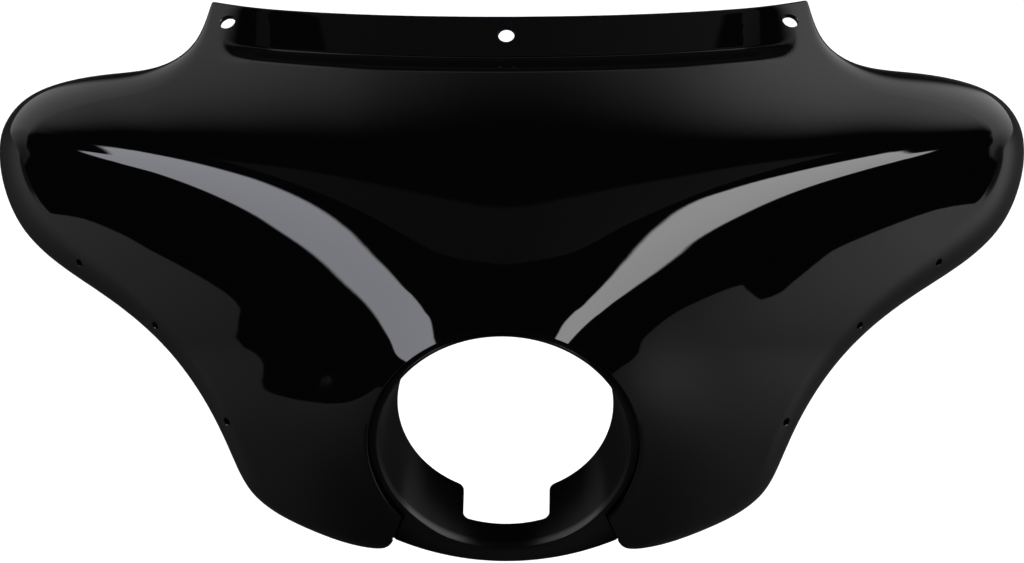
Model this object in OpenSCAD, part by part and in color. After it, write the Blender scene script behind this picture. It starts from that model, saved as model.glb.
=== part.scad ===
// Outer front fairing of a touring motorcycle. A gloss moulded skin wraps round the headlamp like a
// horseshoe and carries a flange for the windscreen, and a satin moulded bucket behind it seats the
// headlamp and closes the gap below it with a chin.
// The headlamp looks along -Y, +Z is up, +X is the right hand of someone who faces the fairing, and
// the origin is the centre of the headlamp's seat. The skin is drawn in its mould plane: x to the
// right, v up along the plane, w the depth behind it, and the plane leans back by mould_lean.

/* [Headlamp bucket] */
// Radius of the straight seat that takes the headlamp's ring
seat_r = 97.6; // [92:0.1:102]
// Length of the straight seat
seat_len = 6; // [4:0.5:10]
// Depth of the bucket from the front of its lip to its rear rim
bucket_depth = 58; // [50:1:70]
// How much smaller the rear opening's radius is than the seat's
bowl_taper = 13.2; // [10:0.1:20]
// Wall of the bucket and of its chin
bucket_wall = 3; // [2.4:0.1:3.6]
// Thickness of the lip in front of the seat
lip_w = 2.6; // [2:0.1:4]
// Width of the step outside the lip
step_w = 1.8; // [1:0.1:3]
// Width of the open groove between the step and the skin
groove_w = 2.6; // [1.6:0.1:4]
// How far the lip stands behind the edge of the skin
lip_setback = 3.3; // [1:0.1:5]
// Depth of the step behind the edge of the skin
step_depth = 5; // [4.4:0.1:6.5]
// Depth of the groove's floor behind the edge of the skin
groove_depth = 8; // [7:0.1:10]
// Half of the width of the notch in the floor of the bucket
notch_half = 34; // [20:1:45]
// Length of the notch from the rear rim
notch_len = 30; // [15:1:38]

/* [Chin] */
// Depth of the chin where it leaves the lip, behind the edge of the skin
chin_depth = 4.4; // [3.6:0.1:5]
// Slope of the chin: how far it falls back for each millimetre outwards
chin_slope = 0.34; // [0.1:0.01:0.5]
// How far the chin's lower edge lies below the lip, on the mould plane
chin_drop = 6.5; // [4:0.1:10]
// Radius of the chin's lower edge
chin_r = 228; // [150:1:320]
// Seam between the chin and each wing
chin_gap = 0.6; // [0.5:0.1:2.5]
// Height of the chin's return edge
chin_return = 9; // [5:0.5:14]

/* [Mounting] */
// How far the axes of the four bosses stand outside the rear opening
boss_stand = 12; // [11.6:0.1:13]
// Radius of each boss
boss_r = 9; // [8.5:0.1:10]
// Outer radius of each brass insert
insert_r = 4; // [3.6:0.1:4.4]
// Length of each brass insert
insert_len = 12; // [8:1:16]
// Radius of the hole through each insert, the core of an M6 thread
insert_bore_r = 2.5; // [2.4:0.05:2.8]

/* [Skin] */
// Wall of the skin
wall = 3.8; // [3:0.1:4.6]
// Wall of the lip that turns in round the headlamp
return_wall = 3.2; // [2.6:0.1:4]
// Depth of that lip behind the edge of the skin
return_depth = 12; // [11:0.5:15]
// Radius on the edge of the skin round the headlamp
edge_r = 1.6; // [1:0.1:2.4]
// Clearance between the skin's lip and the bucket's collar
fit_gap = 0.3; // [0.2:0.05:0.5]
// Half of the span from wing tip to wing tip
half_span = 421; // [400:1:440]
// Height of the flange's upper edge at the middle, up the mould plane
flange_v = 341; // [330:1:350]
// Half of the flange's width
flange_half = 243; // [236:1:250]
// Height of the flange below its upper edge
flange_h = 33; // [28:1:40]
// How far the flange's upper edge lies below the deck
flange_drop = 3; // [1:0.1:6]
// How much steeper than the deck the flange stands, so that its foot lies deeper than its upper edge
flange_tilt = 0.25; // [0:0.01:0.35]
// How far each wing's inner lower corner stands out from the end of the skin's lip
corner_out = 7.9; // [4:0.1:12]
// How far that corner hangs below the end of the skin's lip
corner_drop = 17.1; // [12:0.1:22]
// Width of the rolled edge where it is widest, at the wing tip
roll_w = 31; // [24:0.5:36]

/* [Holes] */
// Radius of the three windscreen holes
screen_hole_r = 6.5; // [4:0.1:8]
// Distance of the outer windscreen holes from the flange's side edge
screen_hole_side = 15; // [14:0.5:40]
// Distance of the windscreen holes from the flange's upper edge
screen_hole_edge = 14.5; // [12:0.1:20]
// Radius of the six fixing holes along the lower edge
side_hole_r = 3.1; // [2:0.1:4.5]

/* [Form] */
// Lean of the mould plane behind the headlamp's rim
mould_lean = 33.7; // [30:0.1:36]
// Sweep of the two halves away from the prow
prow_sweep = 0.494; // [0.42:0.01:0.55]
// Radius that rounds the prow
prow_round = 53; // [40:1:70]
// Depth of the prow's ridge, ahead of the middle of the headlamp
ridge_w = -80.3; // [-84:0.1:-78]
// Height of the ridge at the middle
ridge_v = 140; // [134:1:146]
// Rise of the ridge from the middle towards the wing tips
ridge_rise = 134; // [120:1:145]
// Slope of the deck from the ridge up to the flange
deck_slope = 0.741; // [0.68:0.005:0.8]
// Softness of the brow between the front and the deck
brow_soft = 140; // [110:1:160]

/* [Hidden] */

$fn = 96;
over = 1;

lip_r = seat_r + lip_w;
step_r = lip_r + step_w;
open_r = step_r + groove_w;
lip_round = 0.8;
seat_from_edge = lip_setback + lip_round + seat_len / 2;
shell_y = -seat_from_edge;

rear_r = seat_r - bowl_taper;
boss_pitch_r = rear_r + boss_stand;
chin_v = -lip_r * cos(mould_lean) - chin_drop;
seat_end = lip_setback + lip_round + seat_len;
rear_end = lip_setback + bucket_depth;
collar_r = open_r - fit_gap;
flange_r = open_r + return_wall;
seat_flange = 3;
behind_flange = return_depth + seat_flange;
lip_arc = [for (e = [0:30:90]) lip_round * [1 - sin(e), 1 - cos(e)]];
bowl_bulge = 1.5;
bowl_rows = 8;
boss_count = 4;
boss_short = 1.3;
boss_end = rear_end - boss_short;
notch_round = 5;
chin_reach = 36;
gap_reach = 60;

opening_from = -40;
lip_corner = open_r * [cos(opening_from), sin(opening_from) * cos(mould_lean)];
corner = lip_corner + [corner_out, -corner_drop];
screen_hole_x = flange_half - screen_hole_side;

// The rest of the skin's form. The prow and the front are bowed like parabolas: each falls back by the
// square of a distance over its bow.
prow_bow = 3333;
front_bow = 588;
sweep_x = 400;
ridge_power = 0.8;
ridge_ease = 0.01;
brow_flat = 20;
brow_reach = 240;
brow_power = 1.6;
brow_share = 0.4;
tuck = 22;
tuck_top = 80;
tuck_h = 170;
tuck_x = 200;
tuck_ease = 0.15;
collar = 90;
collar_past = 1.2;
flange_blend = 14;
flange_rise = 20;
flange_fade_from = 190;
flange_fade = 45;
inset_from = 2;
inset_over = 8;
inset_least = 0.5;
skirt_least = 3.5;
skirt_share = 0.47;
corner_round = 4;
slope_step = 0.5;

// Poles of the right half of the skin's outline, from the corner beside the chin to the middle of the
// flange. Each is [x, v, width of the rolled edge, angle on the opening that its section starts from].
// Widths are shares of roll_w and heights are shares of flange_v. Below the wing and on the flange x is
// a share of flange_half, and on the wing it is a share of the way from there to the wing tip.
lower_poles = [
    [0.527, -0.223, 0.26, -35],
    [0.646, -0.192, 0.32, -31],
    [0.757, -0.157, 0.39, -26],
    [0.842, -0.111, 0.42, -21],
    [0.885, -0.053, 0.42, -15],
    [0.93, 0.029, 0.45, -7]
];
wing_poles = [
    [0, 0.123, 0.48, 2],
    [0.135, 0.217, 0.52, 11],
    [0.303, 0.299, 0.58, 19],
    [0.5, 0.37, 0.68, 26],
    [0.713, 0.437, 0.81, 32],
    [0.888, 0.516, 0.9, 36.5],
    [0.98, 0.61, 0.97, 40],
    [1.018, 0.71, 1, 43],
    [0.984, 0.801, 1, 46],
    [0.876, 0.859, 0.94, 48.5],
    [0.702, 0.886, 0.84, 51],
    [0.506, 0.897, 0.74, 54],
    [0.309, 0.897, 0.61, 57],
    [0.163, 0.915, 0.45, 60]
];
flange_poles = [
    [1.045, 0.959, 0.29, 62.5],
    [1.014, 1.018, 0.16, 64.5],
    [1, 1.065, 0.065, 66],
    [0.994, 1.065, 0.045, 67],
    [0.893, 1.048, 0.039, 69],
    [0.679, 1.027, 0.039, 75],
    [0.35, 1.007, 0.039, 82.5],
    [0, 1, 0.039, 90]
];
corner_poles = [
    [corner.x, corner.y, 0.02 * roll_w, opening_from],
    [corner.x + corner_round, corner.y - 1.6 * corner_round, 0.12 * roll_w, -39.3],
    [corner.x + 3.75 * corner_round, corner.y - 1.9 * corner_round, 0.16 * roll_w, -38]
];

function pole(x, p) = [x, p[1] * flange_v, p[2] * roll_w, p[3]];
half_poles = concat(
    corner_poles,
    [for (p = lower_poles) pole(p[0] * flange_half, p)],
    [for (p = wing_poles) pole(flange_half + p[0] * (half_span - flange_half), p)],
    [for (p = flange_poles) pole(p[0] * flange_half, p)]
);
top = len(half_poles) - 1;
first_pole = mirrored(half_poles[0]);
last_pole = half_poles[0];
poles = concat(
    [first_pole, first_pole],
    [for (p = half_poles) mirrored(p)],
    [for (i = [top - 1:-1:0]) half_poles[i]],
    [last_pole, last_pole]
);
spans = len(poles) - 3;
columns = 2 * spans;

// Rows of a section: the return lip, the rounded edge, the face, the rolled edge and the skirt
edge_angles = [90, 45];
face_shares = [0, 0.06, 0.14, 0.24, 0.34, 0.44, 0.54, 0.64, 0.73, 0.8, 0.822, 0.84, 0.858, 0.88, 0.94, 1];
roll_angles = [18, 36, 54, 72, 90];
rows = 1 + len(edge_angles) + len(face_shares) + len(roll_angles) + 1;

// Fixing holes: span of the outline that each lies on, counted from the middle of the flange, and its
// distance from the edge
side_holes = [[17.47, 11.5], [19.4, 7.7], [21.83, 9.4]];

function mirrored(p) = [-p[0], p[1], p[2], 180 - p[3]];
function ease(s) = let (c = min(1, max(0, s))) c * c * (3 - 2 * c);
function ramp(s) = let (c = max(0, s)) (1 + tuck_ease) * c * c / (c + tuck_ease);
function unit(a) = a / norm(a);

// A point of the mould plane, and a point of a ring round the headlamp, in the fairing's own frame
function placed(x, v, w) =
    [x, w * cos(mould_lean) + v * sin(mould_lean) + shell_y, v * cos(mould_lean) - w * sin(mould_lean)];
function on_ring(r, angle, y) = [r * cos(angle), y + shell_y, r * sin(angle)];

// Depth of the skin's free form: two sloping sheets, deck and front, blended over the brow
function ridge_at(x) =
    ridge_v + ridge_rise * (pow(x * x / (sweep_x * sweep_x) + ridge_ease, ridge_power / 2)
        - pow(ridge_ease, ridge_power / 2));
function brow_at(x) =
    brow_soft * exp(-pow((x * x + brow_flat * brow_flat) / (brow_reach * brow_reach), brow_power / 2));
function form_w(x, v) =
    let (
        t = v - ridge_at(x),
        swept = ridge_w + prow_sweep * (sqrt(x * x + prow_round * prow_round) - prow_round) + x * x / prow_bow,
        tucked = tuck * ramp((tuck_top - v) / tuck_h) * abs(x) / tuck_x,
        deck = swept + deck_slope * t,
        front = swept + min(0, t) * min(0, t) / front_bow - tucked,
        soft = brow_share * brow_at(x)
    )
    (deck + front + sqrt((deck - front) * (deck - front) + soft * soft)) / 2;

// Depth of the skin: the free form, drawn on to the headlamp's rim and stepped down at the flange
function flange_edge(x) = flange_v + flange_rise * (x / flange_half) * (x / flange_half);
function skin_w(x, v) =
    let (
        z = v / cos(mould_lean),
        angle = atan2(z, x),
        rim_x = open_r * cos(angle),
        rim_v = open_r * sin(angle) * cos(mould_lean),
        miss = -rim_v * tan(mould_lean) - form_w(rim_x, rim_v),
        f = min(collar_past, max(0, 1 - (norm([x, z]) - open_r) / collar)),
        under = flange_edge(x) - v,
        step = ease((flange_h + flange_blend - under) / flange_blend)
            * (1 - ease((abs(x) - flange_fade_from) / flange_fade))
    )
    form_w(x, v) + miss * f * f * f * (4 - 3 * f) + (flange_drop + flange_tilt * under) * step;
function skin_slope(x, v) =
    let (h = slope_step)
    [skin_w(x + h, v) - skin_w(x - h, v), skin_w(x, v + h) - skin_w(x, v - h)] / (2 * h);
function inner_w(x, v) = skin_w(x, v) + wall * norm([each skin_slope(x, v), 1]);

// The outline is a uniform cubic spline through its poles
function spline(p, t) =
    let (i = min(floor(t), len(p) - 4), f = t - i, g = 1 - f)
    (p[i] * g * g * g + p[i + 1] * (3 * f * f * f - 6 * f * f + 4)
        + p[i + 2] * (3 * g * g * g - 6 * g * g + 4) + p[i + 3] * f * f * f) / 6;
function outline(t) = spline(poles, t);
function outward(t) =
    let (
        h = 0.01,
        a = outline(max(0, t - h)),
        b = outline(min(spans, t + h)),
        d = unit([b[0] - a[0], b[1] - a[1]])
    )
    [-d.y, d.x];

function outer_section(t) =
    let (
        s = outline(t),
        n = outward(t),
        a = s[3],
        roll = s[2],
        r = open_r + edge_r,
        from = [r * cos(a), r * sin(a) * cos(mould_lean)],
        to = [s[0], s[1]] - n * roll,
        from_y = skin_w(from.x, from.y) * cos(mould_lean) + from.y * sin(mould_lean),
        rim_w = skin_w(s[0], s[1]) + roll
    )
    concat(
        [on_ring(open_r, a, return_depth)],
        [for (e = edge_angles) on_ring(r - edge_r * sin(e), a, from_y + edge_r * (1 - cos(e)))],
        [for (f = face_shares) let (q = from + (to - from) * f) placed(q.x, q.y, skin_w(q.x, q.y))],
        [
            for (e = roll_angles)
                let (q = to + n * roll * sin(e))
                    placed(q.x, q.y, skin_w(q.x, q.y) + roll * (1 - cos(e)))
        ],
        [placed(s[0], s[1], rim_end(s, n, rim_w))]
    );

// Depth of the rear rim, where the skirt is never shorter than the wall inside it
function skirt_of(roll) = skirt_least + skirt_share * roll;
function inset_of(roll) = inset_least + (wall - inset_least) * ease((roll - inset_from) / inset_over);
function inner_roll(roll) = max(inset_least, roll - inset_of(roll));
function rim_end(s, n, rim_w) =
    let (q = [s[0], s[1]] - n * inset_of(s[2]))
    max(rim_w + skirt_of(s[2]), inner_w(q.x, q.y) + inner_roll(s[2]) + inset_least);

// Where the inner face meets the inside of the return lip
function lip_start(a, y, tries = 3) =
    let (
        r = open_r + return_wall,
        v = r * sin(a) * cos(mould_lean) + y * sin(mould_lean),
        x = r * cos(a)
    )
    tries == 0 ? [x, v] : lip_start(a, inner_w(x, v) * cos(mould_lean) + v * sin(mould_lean), tries - 1);

function inner_section(t) =
    let (
        s = outline(t),
        n = outward(t),
        a = s[3],
        roll = inner_roll(s[2]),
        from = lip_start(a, wall),
        edge = [s[0], s[1]] - n * inset_of(s[2]),
        to = edge - n * roll,
        start = placed(from.x, from.y, inner_w(from.x, from.y)),
        lip_end = on_ring(open_r + return_wall, a, return_depth),
        rim_w = skin_w(s[0], s[1]) + s[2]
    )
    concat(
        [lip_end],
        [for (i = [1:len(edge_angles)]) lip_end + (start - lip_end) * i / (len(edge_angles) + 1)],
        [for (f = face_shares) let (q = from + (to - from) * f) placed(q.x, q.y, inner_w(q.x, q.y))],
        [
            for (e = roll_angles)
                let (q = to + n * roll * sin(e))
                    placed(q.x, q.y, inner_w(q.x, q.y) + roll * (1 - cos(e)))
        ],
        [placed(edge.x, edge.y, rim_end(s, n, rim_w))]
    );

// Two triangles over four corners
function quad(a, b, c, d) = [[a, c, b], [a, d, c]];

module skin_solid() {
    sections = [for (i = [0:columns]) outer_section(i * spans / columns)];
    linings = [for (i = [0:columns]) inner_section(i * spans / columns)];
    inside = (columns + 1) * rows;
    faces = [
        for (i = [0:columns - 1]) let (a = i * rows, b = a + rows) each [
            for (j = [0:rows - 2]) each quad(a + j, b + j, b + j + 1, a + j + 1),
            for (j = [inside:inside + rows - 2]) each quad(a + j, a + j + 1, b + j + 1, b + j),
            each quad(a, inside + a, inside + b, b),
            each quad(a + rows - 1, b + rows - 1, inside + b + rows - 1, inside + a + rows - 1)
        ],
        for (j = [0:rows - 2]) each quad(j, j + 1, inside + j + 1, inside + j),
        for (j = [columns * rows:columns * rows + rows - 2]) each quad(j, inside + j, inside + j + 1, j + 1)
    ];
    polyhedron(points = [each each sections, each each linings], faces = faces, convexity = 12);
}

// A drill of radius r through point p along direction n
module drill(p, n, r) {
    length = 8 * wall;
    translate(p)
        rotate([0, acos(n.z), atan2(n.y, n.x)])
            cylinder(h = length, r = r, center = true);
}

function face_point(x, v) = placed(x, v, skin_w(x, v));
function face_normal(x, v) =
    unit(cross(face_point(x + 1, v) - face_point(x - 1, v), face_point(x, v + 1) - face_point(x, v - 1)));
function roll_point(t, edge) =
    let (s = outline(t), n = outward(t), e = asin(1 - edge / s[2]), q = [s[0], s[1]] - n * edge)
    placed(q.x, q.y, skin_w(q.x, q.y) + s[2] * (1 - cos(e)));
function roll_normal(t, edge) =
    let (
        along = roll_point(t + 0.05, edge) - roll_point(t - 0.05, edge),
        out = roll_point(t, edge - slope_step) - roll_point(t, edge + slope_step)
    )
    unit(cross(along, out));

module outer_shell() {
    color("#17171a")
        difference() {
            skin_solid();
            for (x = [-screen_hole_x, 0, screen_hole_x])
                let (v = flange_edge(x) - screen_hole_edge)
                    drill(face_point(x, v), face_normal(x, v), screen_hole_r);
            for (h = side_holes, side = [-1, 1])
                let (t = spans / 2 + side * h[0])
                    drill(roll_point(t, h[1]), roll_normal(t, h[1]), side_hole_r);
        }
}

// Turns a profile of [radius, distance behind the skin's edge] round the headlamp's axis
module turned(profile) {
    translate([0, shell_y, 0])
        rotate([-90, 0, 0])
            rotate_extrude($fn = 180)
                polygon(profile);
}

// The bowl's inner radius, from the end of the seat at share 0 to the rear opening at share 1
function bowl_r(share) = seat_r + (rear_r - seat_r) * share + 4 * bowl_bulge * share * (1 - share);
function bowl_depth(share) = seat_end + (rear_end - seat_end) * share;

module bowl() {
    inside = concat(
        [for (p = lip_arc) [seat_r + p[0], lip_setback + p[1]]],
        [for (i = [0:bowl_rows]) [bowl_r(i / bowl_rows), bowl_depth(i / bowl_rows)]]
    );
    outside = concat(
        [
            for (i = [bowl_rows:-1:0])
                if (bowl_depth(i / bowl_rows) > behind_flange)
                    [bowl_r(i / bowl_rows) + bucket_wall, bowl_depth(i / bowl_rows)]
        ],
        [
            [seat_r + bucket_wall, behind_flange],
            [flange_r, behind_flange],
            [flange_r, return_depth],
            [collar_r, return_depth],
            [collar_r, groove_depth],
            [step_r, groove_depth],
            [step_r, step_depth],
            [lip_r, step_depth]
        ],
        [for (i = [len(lip_arc) - 1:-1:0]) [lip_r - lip_arc[i][0], lip_setback + lip_arc[i][1]]]
    );
    turned(concat(inside, outside));
}

// The room inside the bowl, grown outwards by the given amount
module bowl_room(grow) {
    turned([
        [0, 0],
        [seat_r + grow, 0],
        for (i = [0:bowl_rows]) [bowl_r(i / bowl_rows) + grow, bowl_depth(i / bowl_rows)],
        [rear_r + grow, rear_end + over],
        [0, rear_end + over]
    ]);
}

// The gap between the two wings, less the seams, down to the chin's lower edge
module wing_gap(inset) {
    along = unit(corner - lip_corner);
    edge = lip_corner + chin_gap * [along.y, -along.x];
    a = edge - along * gap_reach;
    b = edge + along * gap_reach;
    translate([0, shell_y, 0])
        rotate([90 - mould_lean, 0, 0])
            intersection() {
                linear_extrude(height = 4 * gap_reach, center = true)
                    polygon([a, b, [-b.x, b.y], [-a.x, a.y]]);
                translate([0, chin_v + chin_r, 0])
                    cylinder(h = 4 * gap_reach, r = chin_r - inset, center = true, $fn = 360);
            }
}

module chin() {
    outer_r = lip_r + chin_reach;
    outer_depth = chin_depth + chin_slope * chin_reach;
    inner_depth = chin_depth + chin_slope * (flange_r - lip_r) + bucket_wall;
    far_depth = outer_depth + bucket_wall + 2 * chin_return;
    difference() {
        intersection() {
            turned([
                [seat_r + lip_w / 2, chin_depth],
                [lip_r, chin_depth],
                [outer_r, outer_depth],
                [outer_r, outer_depth + chin_return],
                [flange_r, behind_flange],
                [seat_r + lip_w / 2, behind_flange]
            ]);
            wing_gap(0);
        }
        intersection() {
            turned([
                [flange_r, inner_depth],
                [outer_r + over, inner_depth + chin_slope * (outer_r + over - flange_r)],
                [outer_r + over, far_depth],
                [flange_r, far_depth]
            ]);
            wing_gap(bucket_wall);
        }
    }
}

// A rod along the headlamp's axis, at boss number i, between two depths
module boss_rod(i, r, from, to) {
    angle = (i + 0.5) * 360 / boss_count;
    translate([boss_pitch_r * cos(angle), shell_y + from, boss_pitch_r * sin(angle)])
        rotate([-90, 0, 0])
            cylinder(h = to - from, r = r);
}

// The notch in the bowl's floor, open at the rear, with round inner corners
module floor_notch() {
    front = rear_end - notch_len;
    side = notch_half - notch_round;
    translate([0, shell_y, -seat_r - bucket_wall])
        linear_extrude(height = seat_r)
            polygon(concat(
                [for (e = [270:15:360]) [side, front + notch_round] + notch_round * [cos(e), sin(e)]],
                [[notch_half, rear_end + over], [-notch_half, rear_end + over]],
                [for (e = [180:15:270]) [-side, front + notch_round] + notch_round * [cos(e), sin(e)]]
            ));
}

module headlight_bucket() {
    color("#2b2b2e")
        difference() {
            union() {
                bowl();
                chin();
                for (i = [0:boss_count - 1])
                    difference() {
                        boss_rod(i, boss_r, behind_flange - seat_flange / 2, boss_end);
                        bowl_room(bucket_wall / 2);
                    }
            }
            floor_notch();
            for (i = [0:boss_count - 1])
                boss_rod(i, insert_r, boss_end - insert_len, boss_end + over);
        }
}

module threaded_inserts() {
    color("#b08d45")
        for (i = [0:boss_count - 1])
            difference() {
                boss_rod(i, insert_r, boss_end - insert_len, boss_end);
                boss_rod(i, insert_bore_r, boss_end - insert_len - over, boss_end + over);
            }
}

outer_shell();
headlight_bucket();
threaded_inserts();
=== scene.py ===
"""The front fairing of a touring motorcycle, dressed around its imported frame.

A gloss black moulded skin wraps round the headlamp like a horseshoe. Behind it a satin black bucket seats
the headlamp, closes the gap below it with a chin, and carries four brass inserts. Lengths are in
millimetres until a mesh is made, and metres from there on.
"""

import logging
import math
from dataclasses import dataclass, field
from enum import Enum

import bmesh
import bpy
import numpy as np
from mathutils import Matrix, Vector


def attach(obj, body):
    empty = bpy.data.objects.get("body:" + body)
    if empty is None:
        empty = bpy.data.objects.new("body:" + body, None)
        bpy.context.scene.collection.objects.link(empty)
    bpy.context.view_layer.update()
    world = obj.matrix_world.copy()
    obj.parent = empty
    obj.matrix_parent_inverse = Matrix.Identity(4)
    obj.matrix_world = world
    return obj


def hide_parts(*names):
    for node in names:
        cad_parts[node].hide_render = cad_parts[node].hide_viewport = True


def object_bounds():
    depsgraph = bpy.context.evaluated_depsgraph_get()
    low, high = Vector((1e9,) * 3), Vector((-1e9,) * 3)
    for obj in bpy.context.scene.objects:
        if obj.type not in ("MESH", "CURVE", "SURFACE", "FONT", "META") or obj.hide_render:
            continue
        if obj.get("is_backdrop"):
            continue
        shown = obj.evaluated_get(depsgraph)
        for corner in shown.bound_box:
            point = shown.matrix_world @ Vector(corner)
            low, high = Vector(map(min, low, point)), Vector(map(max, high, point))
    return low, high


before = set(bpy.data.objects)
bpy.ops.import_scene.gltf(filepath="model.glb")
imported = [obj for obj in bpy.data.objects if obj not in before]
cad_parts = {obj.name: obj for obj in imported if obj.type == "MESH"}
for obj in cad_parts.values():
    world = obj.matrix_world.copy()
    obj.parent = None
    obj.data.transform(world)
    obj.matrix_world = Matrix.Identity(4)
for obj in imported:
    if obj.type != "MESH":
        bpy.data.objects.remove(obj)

log = logging.getLogger("fairing")
MM = 0.001
# Clear lacquer and ABS bend light alike
IOR_OF_RESIN = 1.5
# The skin's opening starts and ends at this angle below the headlamp's middle, in degrees
OPENING_FROM = -40
BODY = "root"


class BooleanKind(Enum):
    """What a boolean does with its tool."""

    CUT = "DIFFERENCE"
    JOIN = "UNION"
    KEEP = "INTERSECT"


class Solver(Enum):
    """How a boolean is worked out."""

    EXACT = "EXACT"
    MANIFOLD = "MANIFOLD"


class Face(Enum):
    """Which finish a face of a two-sided moulding takes."""

    SHOW = 0
    HIDDEN = 1


def ease(s: np.ndarray) -> np.ndarray:
    """Smooth step from 0 to 1 as s goes from 0 to 1."""
    c = np.clip(s, 0.0, 1.0)
    return c * c * (3.0 - 2.0 * c)


def linear(hex_colour: str) -> tuple[float, float, float, float]:
    """Turns an sRGB hex colour to linear RGBA.

    Args:
        hex_colour: six hex digits after a hash sign.

    Returns:
        The linear colour with alpha 1.
    """
    parts = [int(hex_colour[i : i + 2], 16) / 255.0 for i in (1, 3, 5)]
    rgb = [p / 12.92 if p <= 0.04045 else ((p + 0.055) / 1.055) ** 2.4 for p in parts]
    return (rgb[0], rgb[1], rgb[2], 1.0)


def add_node(tree: bpy.types.NodeTree, kind: str, settings: dict | None = None, **inputs) -> bpy.types.Node:
    """Adds a node, sets it up and links or fills its inputs.

    Args:
        tree: the tree that the node goes in.
        kind: Blender's name of the node type.
        settings: properties of the node itself.
        **inputs: an input's name, or i and its number, with a socket to link or a value to set.

    Returns:
        The new node.
    """
    node = tree.nodes.new(kind)
    for name, value in (settings or {}).items():
        setattr(node, name, value)
    for name, value in inputs.items():
        number = name[1:]
        key = int(number) if name[0] == "i" and number.isdigit() else name.replace("_", " ")
        socket = node.inputs[key]
        if isinstance(value, bpy.types.NodeSocket):
            tree.links.new(value, socket)
        else:
            socket.default_value = value
    return node


def mesh_object(name: str, points: np.ndarray, faces: list, marks: list | None = None) -> bpy.types.Object:
    """Makes an object of points in millimetres.

    Args:
        name: the object's name.
        points: an array of N points.
        faces: lists of point numbers.
        marks: the material number of each face, or None for one material.

    Returns:
        The object, linked into the scene and shaded smooth.
    """
    mesh = bpy.data.meshes.new(name)
    mesh.from_pydata((points * MM).tolist(), [], faces)
    if marks is not None:
        mesh.polygons.foreach_set("material_index", marks)
    mesh.shade_smooth()
    mesh.update()
    piece = bpy.data.objects.new(name, mesh)
    bpy.context.scene.collection.objects.link(piece)
    return piece


def flat_mesh(piece: bpy.types.Object) -> None:
    """Turns an object's live modifiers into its plain mesh.

    Args:
        piece: the object, changed in place.
    """
    graph = bpy.context.evaluated_depsgraph_get()
    graph.update()
    made = bpy.data.meshes.new_from_object(piece.evaluated_get(graph), depsgraph=graph)
    piece.modifiers.clear()
    piece.data = made


def outwards(piece: bpy.types.Object) -> None:
    """Turns the faces of a closed mesh outwards.

    Args:
        piece: the mesh's object, changed in place.
    """
    work = bmesh.new()
    work.from_mesh(piece.data)
    bmesh.ops.recalc_face_normals(work, faces=work.faces)
    work.to_mesh(piece.data)
    work.free()


def round_bar(name: str, profile: list[tuple[float, float]], sides: int) -> bpy.types.Object:
    """A round bar along Z, in millimetres.

    Args:
        name: the object's name.
        profile: radius and height of each ring, upwards.
        sides: faces round the bar.

    Returns:
        The bar, closed at both ends.
    """
    turn = np.linspace(0, 2 * math.pi, sides, endpoint=False)
    rings = [np.stack([r * np.cos(turn), r * np.sin(turn), np.full(sides, h)], axis=1) for r, h in profile]
    faces: list = []
    for k in range(len(profile) - 1):
        a, b = k * sides, (k + 1) * sides
        faces += [(a + i, a + (i + 1) % sides, b + (i + 1) % sides, b + i) for i in range(sides)]
    last = (len(profile) - 1) * sides
    faces += [tuple(range(sides - 1, -1, -1)), tuple(range(last, last + sides))]
    return mesh_object(name, np.vstack(rings), faces)


def block_between(name: str, first: np.ndarray, second: np.ndarray) -> bpy.types.Object:
    """A closed block between two outlines that have as many points.

    Args:
        name: the object's name.
        first: the points of one end, in order.
        second: the points of the other end, in the same order.

    Returns:
        The block, with its faces outwards.
    """
    count = len(first)
    faces: list = [(i, (i + 1) % count, count + (i + 1) % count, count + i) for i in range(count)]
    faces += [tuple(range(count - 1, -1, -1)), tuple(range(count, 2 * count))]
    made = mesh_object(name, np.vstack([first, second]), faces)
    outwards(made)
    return made


def boolean(
    piece: bpy.types.Object, tool: bpy.types.Object, kind: BooleanKind, solver: Solver = Solver.EXACT
) -> None:
    """Applies a tool to a piece and deletes the tool.

    Args:
        piece: the piece that is changed.
        tool: the closed mesh that works on it.
        kind: what is done with the tool.
        solver: the way of working it out; the manifold one keeps small parts that lie close together.
    """
    step = piece.modifiers.new("boolean", "BOOLEAN")
    step.operation = kind.value
    step.solver = solver.value
    step.object = tool
    flat_mesh(piece)
    bpy.data.objects.remove(tool)


@dataclass(frozen=True)
class MouldPlane:
    """The leaning plane that the skin is drawn on: x right, v up the plane, w the depth behind it."""

    lean: float = math.radians(33.7)
    edge_y: float = -7.1

    def to_frame(self, x: np.ndarray, v: np.ndarray, w: np.ndarray) -> np.ndarray:
        """Turns mould coordinates into points of the fairing's own frame.

        Args:
            x: places to the right.
            v: places up the plane.
            w: depths behind the plane.

        Returns:
            The points, with their three coordinates on the last axis.
        """
        c, s = math.cos(self.lean), math.sin(self.lean)
        x, v, w = np.broadcast_arrays(x, v, w)
        return np.stack([x, w * c + v * s + self.edge_y, v * c - w * s], axis=-1)

    def direction(self, x: float, v: float, w: float) -> np.ndarray:
        """Turns a direction on the mould plane into one of the fairing's frame."""
        return self.to_frame(np.array(x), np.array(v), np.array(w)) - np.array([0.0, self.edge_y, 0.0])


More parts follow.
